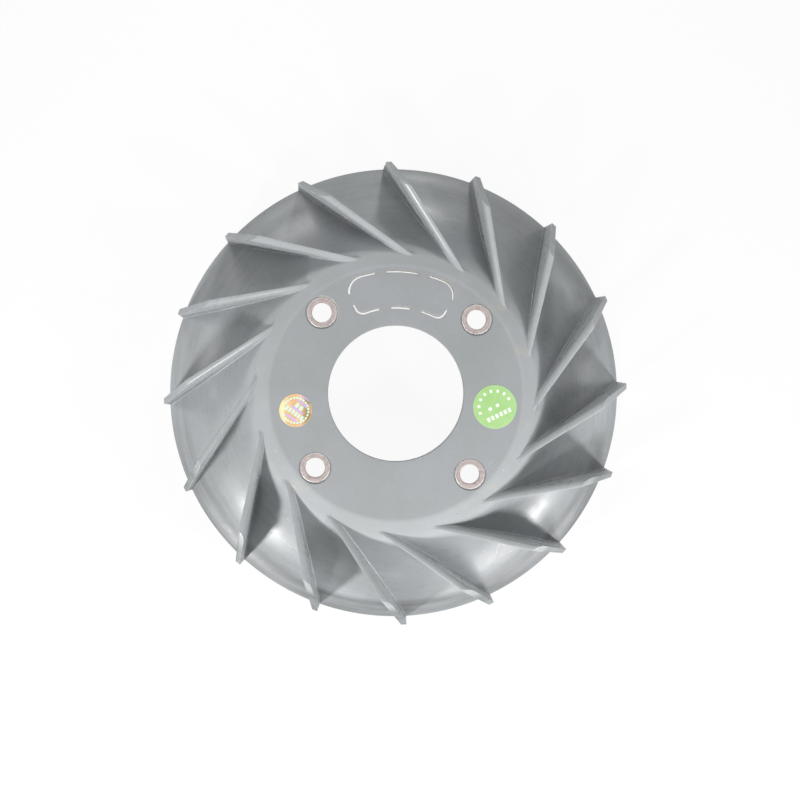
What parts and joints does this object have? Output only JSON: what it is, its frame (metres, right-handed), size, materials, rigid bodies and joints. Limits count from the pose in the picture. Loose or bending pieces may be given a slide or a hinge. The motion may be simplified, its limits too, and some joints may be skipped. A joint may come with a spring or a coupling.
{
  "type": "engine cooling fan",
  "caption": "Moulded centrifugal cooling fan with swept blades on a flared shell, metal bushes for the flywheel bolts and a wide central bore.",
  "frame": {"origin": "centre of the circle on which the rim rests, on the fan's axis", "axes": "+Z along the axis of rotation, out of the front face; +Y towards the knock-out panel"},
  "size_m": [0.21, 0.21, 0.0366],
  "materials": {
    "grey_plastic": "moulded grey thermoplastic, satin, lightly scuffed",
    "bush_steel": "turned steel, tarnished",
    "foil": "gold holographic foil",
    "green_paper": "printed green film"
  },
  "bodies": {
    "root": {"fan_wheel": "grey_plastic", "bush_1": "bush_steel", "bush_2": "bush_steel", "bush_3": "bush_steel", "bush_4": "bush_steel", "foil_label": "foil", "green_label": "green_paper"}
  },
  "joints": []
}
